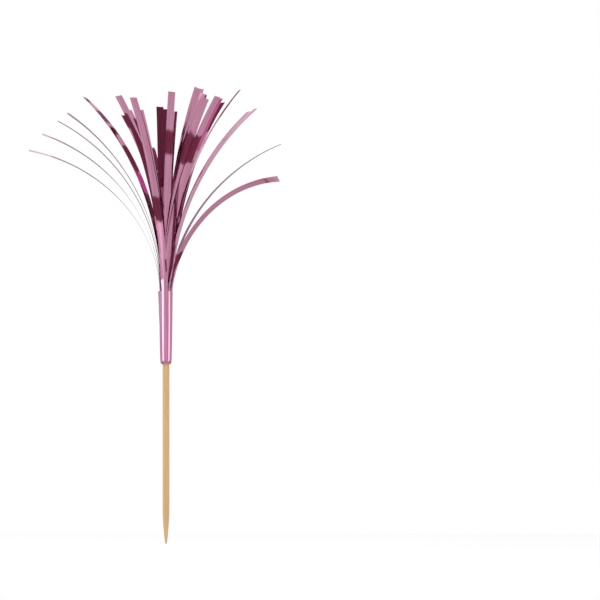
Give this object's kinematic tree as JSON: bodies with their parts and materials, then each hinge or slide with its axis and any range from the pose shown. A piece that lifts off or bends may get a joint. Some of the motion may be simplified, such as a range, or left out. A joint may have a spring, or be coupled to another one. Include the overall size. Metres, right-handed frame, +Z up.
{
  "type": "cupcake topper",
  "caption": "Foil fringe cupcake topper: a pointed wooden pick with a rolled sleeve of metallised film whose fringe of flat streamers sprays up and arches outward.",
  "frame": {"origin": "the point of the pick, the end that goes into the cake", "axes": "+Z up along the pick, from its point to the fringe; +X to the right and +Y away from the viewer of the picture"},
  "size_m": [0.0886, 0.0864, 0.1595],
  "materials": {
    "wood": "plain birch or bamboo, turned round, unvarnished",
    "tape": "thin clear double-sided tape, hidden by the sleeve",
    "foil": "metallised rose film, mirror-like with fine streaks"
  },
  "bodies": {
    "pick_and_sleeve": {"pick": "wood", "adhesive_tape": "tape", "foil_sleeve": "foil"},
    "streamer_01": {"streamer_01": "foil"},
    "streamer_02": {"streamer_02": "foil"},
    "streamer_03": {"streamer_03": "foil"},
    "streamer_04": {"streamer_04": "foil"},
    "streamer_05": {"streamer_05": "foil"},
    "streamer_06": {"streamer_06": "foil"},
    "streamer_07": {"streamer_07": "foil"},
    "streamer_08": {"streamer_08": "foil"},
    "streamer_09": {"streamer_09": "foil"},
    "streamer_10": {"streamer_10": "foil"},
    "streamer_11": {"streamer_11": "foil"},
    "streamer_12": {"streamer_12": "foil"},
    "streamer_13": {"streamer_13": "foil"},
    "streamer_14": {"streamer_14": "foil"},
    "streamer_15": {"streamer_15": "foil"},
    "streamer_16": {"streamer_16": "foil"},
    "streamer_17": {"streamer_17": "foil"},
    "streamer_18": {"streamer_18": "foil"},
    "streamer_19": {"streamer_19": "foil"},
    "streamer_20": {"streamer_20": "foil"},
    "streamer_21": {"streamer_21": "foil"},
    "streamer_22": {"streamer_22": "foil"},
    "streamer_23": {"streamer_23": "foil"},
    "streamer_24": {"streamer_24": "foil"},
    "streamer_25": {"streamer_25": "foil"},
    "streamer_26": {"streamer_26": "foil"},
    "streamer_27": {"streamer_27": "foil"},
    "streamer_28": {"streamer_28": "foil"},
    "streamer_29": {"streamer_29": "foil"},
    "streamer_30": {"streamer_30": "foil"},
    "streamer_31": {"streamer_31": "foil"},
    "streamer_32": {"streamer_32": "foil"},
    "streamer_33": {"streamer_33": "foil"}
  },
  "joints": [
    {"name": "flex_01", "type": "hinge", "parent": "pick_and_sleeve", "child": "streamer_01", "pos_m": [-0.00221, 0, 0.0887], "axis": [-0.0166, -0.9999, 0], "range_deg": [-2, 14], "stiffness_Nm_per_rad": 0.0005},
    {"name": "flex_02", "type": "hinge", "parent": "pick_and_sleeve", "child": "streamer_02", "pos_m": [-0.00068, -0.0021, 0.0887], "axis": [0.9105, -0.4135, 0], "range_deg": [-0.15, 14], "stiffness_Nm_per_rad": 0.0005},
    {"name": "flex_03", "type": "hinge", "parent": "pick_and_sleeve", "child": "streamer_03", "pos_m": [0.00179, -0.0013, 0.0887], "axis": [0.6905, 0.7233, 0], "range_deg": [-6, 14], "stiffness_Nm_per_rad": 0.0005},
    {"name": "flex_04", "type": "hinge", "parent": "pick_and_sleeve", "child": "streamer_04", "pos_m": [0.00179, 0.0013, 0.0887], "axis": [-0.2935, 0.956, 0], "range_deg": [-2.8, 14], "stiffness_Nm_per_rad": 0.0005},
    {"name": "flex_05", "type": "hinge", "parent": "pick_and_sleeve", "child": "streamer_05", "pos_m": [-0.00068, 0.0021, 0.0887], "axis": [-0.9935, -0.1142, 0], "range_deg": [-2.4, 14], "stiffness_Nm_per_rad": 0.0005},
    {"name": "flex_06", "type": "hinge", "parent": "pick_and_sleeve", "child": "streamer_06", "pos_m": [-0.00204, 0.00014, 0.0887], "axis": [-0.0366, -0.9993, 0], "range_deg": [-1.6, 2], "stiffness_Nm_per_rad": 0.0005},
    {"name": "flex_07", "type": "hinge", "parent": "pick_and_sleeve", "child": "streamer_07", "pos_m": [-0.00077, -0.0019, 0.0887], "axis": [0.9272, -0.3746, 0], "range_deg": [-0.85, 0.15], "stiffness_Nm_per_rad": 0.0005},
    {"name": "flex_08", "type": "hinge", "parent": "pick_and_sleeve", "child": "streamer_08", "pos_m": [0.00157, -0.00132, 0.0887], "axis": [0.4221, 0.9066, 0], "range_deg": [-1.2, 6], "stiffness_Nm_per_rad": 0.0005},
    {"name": "flex_09", "type": "hinge", "parent": "pick_and_sleeve", "child": "streamer_09", "pos_m": [0.00174, 0.00109, 0.0887], "axis": [-0.516, 0.8566, 0], "range_deg": [-1.3, 2.8], "stiffness_Nm_per_rad": 0.0005},
    {"name": "flex_10", "type": "hinge", "parent": "pick_and_sleeve", "child": "streamer_10", "pos_m": [-0.0005, 0.00199, 0.0887], "axis": [-0.93, -0.3675, 0], "range_deg": [-2, 2.4], "stiffness_Nm_per_rad": 0.0005},
    {"name": "flex_11", "type": "hinge", "parent": "pick_and_sleeve", "child": "streamer_11", "pos_m": [-0.00193, -0.00007, 0.0927], "axis": [0.0349, -0.9994, 0], "range_deg": [-1.1, 1.3], "stiffness_Nm_per_rad": 0.0005},
    {"name": "flex_12", "type": "hinge", "parent": "pick_and_sleeve", "child": "streamer_12", "pos_m": [0.00007, -0.00193, 0.0927], "axis": [0.7541, 0.6568, 0], "range_deg": [-0.55, 1.4], "stiffness_Nm_per_rad": 0.0005},
    {"name": "flex_13", "type": "hinge", "parent": "pick_and_sleeve", "child": "streamer_13", "pos_m": [0.00193, 0.00007, 0.0927], "axis": [-0.7745, 0.6326, 0], "range_deg": [-0.95, 1.5], "stiffness_Nm_per_rad": 0.0005},
    {"name": "flex_14", "type": "hinge", "parent": "pick_and_sleeve", "child": "streamer_14", "pos_m": [-0.00007, 0.00193, 0.0927], "axis": [-0.9994, -0.0349, 0], "range_deg": [-0.55, 1.3], "stiffness_Nm_per_rad": 0.0005},
    {"name": "flex_15", "type": "hinge", "parent": "pick_and_sleeve", "child": "streamer_15", "pos_m": [-0.00177, 0, 0.0927], "axis": [0, -1, 0], "range_deg": [-1.3, 1.2], "stiffness_Nm_per_rad": 0.0005},
    {"name": "flex_16", "type": "hinge", "parent": "pick_and_sleeve", "child": "streamer_16", "pos_m": [0, -0.00177, 0.0927], "axis": [0.834, 0.5518, 0], "range_deg": [-0.6, 0.55], "stiffness_Nm_per_rad": 0.0005},
    {"name": "flex_17", "type": "hinge", "parent": "pick_and_sleeve", "child": "streamer_17", "pos_m": [0.00177, 0, 0.0927], "axis": [-0.7051, 0.7091, 0], "range_deg": [-1.5, 0.95], "stiffness_Nm_per_rad": 0.0005},
    {"name": "flex_18", "type": "hinge", "parent": "pick_and_sleeve", "child": "streamer_18", "pos_m": [0, 0.00177, 0.0927], "axis": [-1, 0, 0], "range_deg": [-0.45, 0.55], "stiffness_Nm_per_rad": 0.0005},
    {"name": "flex_19", "type": "hinge", "parent": "pick_and_sleeve", "child": "streamer_19", "pos_m": [-0.00161, -0.00003, 0.0927], "axis": [0.4029, -0.9153, 0], "range_deg": [-0.75, 0.6], "stiffness_Nm_per_rad": 0.0005},
    {"name": "flex_20", "type": "hinge", "parent": "pick_and_sleeve", "child": "streamer_20", "pos_m": [0.00003, -0.00161, 0.0927], "axis": [0.8239, 0.5667, 0], "range_deg": [-1.3, 0.6], "stiffness_Nm_per_rad": 0.0005},
    {"name": "flex_21", "type": "hinge", "parent": "pick_and_sleeve", "child": "streamer_21", "pos_m": [0.00161, 0.00003, 0.0927], "axis": [0.2585, 0.966, 0], "range_deg": [-0.85, 0.45], "stiffness_Nm_per_rad": 0.0005},
    {"name": "flex_22", "type": "hinge", "parent": "pick_and_sleeve", "child": "streamer_22", "pos_m": [-0.00003, 0.00161, 0.0927], "axis": [-0.9015, -0.4327, 0], "range_deg": [-1.3, 0.45], "stiffness_Nm_per_rad": 0.0005},
    {"name": "flex_23", "type": "hinge", "parent": "pick_and_sleeve", "child": "streamer_23", "pos_m": [-0.00121, -0.00076, 0.0927], "axis": [0.776, -0.6308, 0], "range_deg": [-1.2, 0.85], "stiffness_Nm_per_rad": 0.0005},
    {"name": "flex_24", "type": "hinge", "parent": "pick_and_sleeve", "child": "streamer_24", "pos_m": [0.00126, -0.00067, 0.0927], "axis": [0.7347, 0.6784, 0], "range_deg": [-0.2, 0.95], "stiffness_Nm_per_rad": 0.0005},
    {"name": "flex_25", "type": "hinge", "parent": "pick_and_sleeve", "child": "streamer_25", "pos_m": [-0.00005, 0.00143, 0.0927], "axis": [-0.916, 0.4012, 0], "range_deg": [-0.7, 1.4], "stiffness_Nm_per_rad": 0.0005},
    {"name": "flex_26", "type": "hinge", "parent": "pick_and_sleeve", "child": "streamer_26", "pos_m": [0, -0.00127, 0.0927], "axis": [0.9936, 0.1134, 0], "range_deg": [-1, 0.3], "stiffness_Nm_per_rad": 0.0005},
    {"name": "flex_27", "type": "hinge", "parent": "pick_and_sleeve", "child": "streamer_27", "pos_m": [0.0011, 0.00063, 0.0927], "axis": [-0.6816, 0.7317, 0], "range_deg": [-1.3, 0.95], "stiffness_Nm_per_rad": 0.0005},
    {"name": "flex_28", "type": "hinge", "parent": "pick_and_sleeve", "child": "streamer_28", "pos_m": [-0.0011, 0.00063, 0.0927], "axis": [-0.9966, -0.082, 0], "range_deg": [-0.95, 0.6], "stiffness_Nm_per_rad": 0.0005},
    {"name": "flex_29", "type": "hinge", "parent": "pick_and_sleeve", "child": "streamer_29", "pos_m": [0.00073, -0.00087, 0.0927], "axis": [0.7338, 0.6794, 0], "range_deg": [-0.4, 0.75], "stiffness_Nm_per_rad": 0.0005},
    {"name": "flex_30", "type": "hinge", "parent": "pick_and_sleeve", "child": "streamer_30", "pos_m": [-0.00073, 0.00087, 0.0927], "axis": [-0.7332, -0.68, 0], "range_deg": [-1.2, 0.85], "stiffness_Nm_per_rad": 0.0005},
    {"name": "flex_31", "type": "hinge", "parent": "pick_and_sleeve", "child": "streamer_31", "pos_m": [-0.00042, -0.00086, 0.0927], "axis": [0.8, -0.6, 0], "range_deg": [-1, 0.55], "stiffness_Nm_per_rad": 0.0005},
    {"name": "flex_32", "type": "hinge", "parent": "pick_and_sleeve", "child": "streamer_32", "pos_m": [0.00042, 0.00086, 0.0927], "axis": [-0.7012, 0.713, 0], "range_deg": [-1.6, 1.3], "stiffness_Nm_per_rad": 0.0005},
    {"name": "flex_33", "type": "hinge", "parent": "pick_and_sleeve", "child": "streamer_33", "pos_m": [0.00025, -0.00077, 0.0927], "axis": [0.9559, 0.2938, 0], "range_deg": [-1.3, 1], "stiffness_Nm_per_rad": 0.0005}
  ]
}
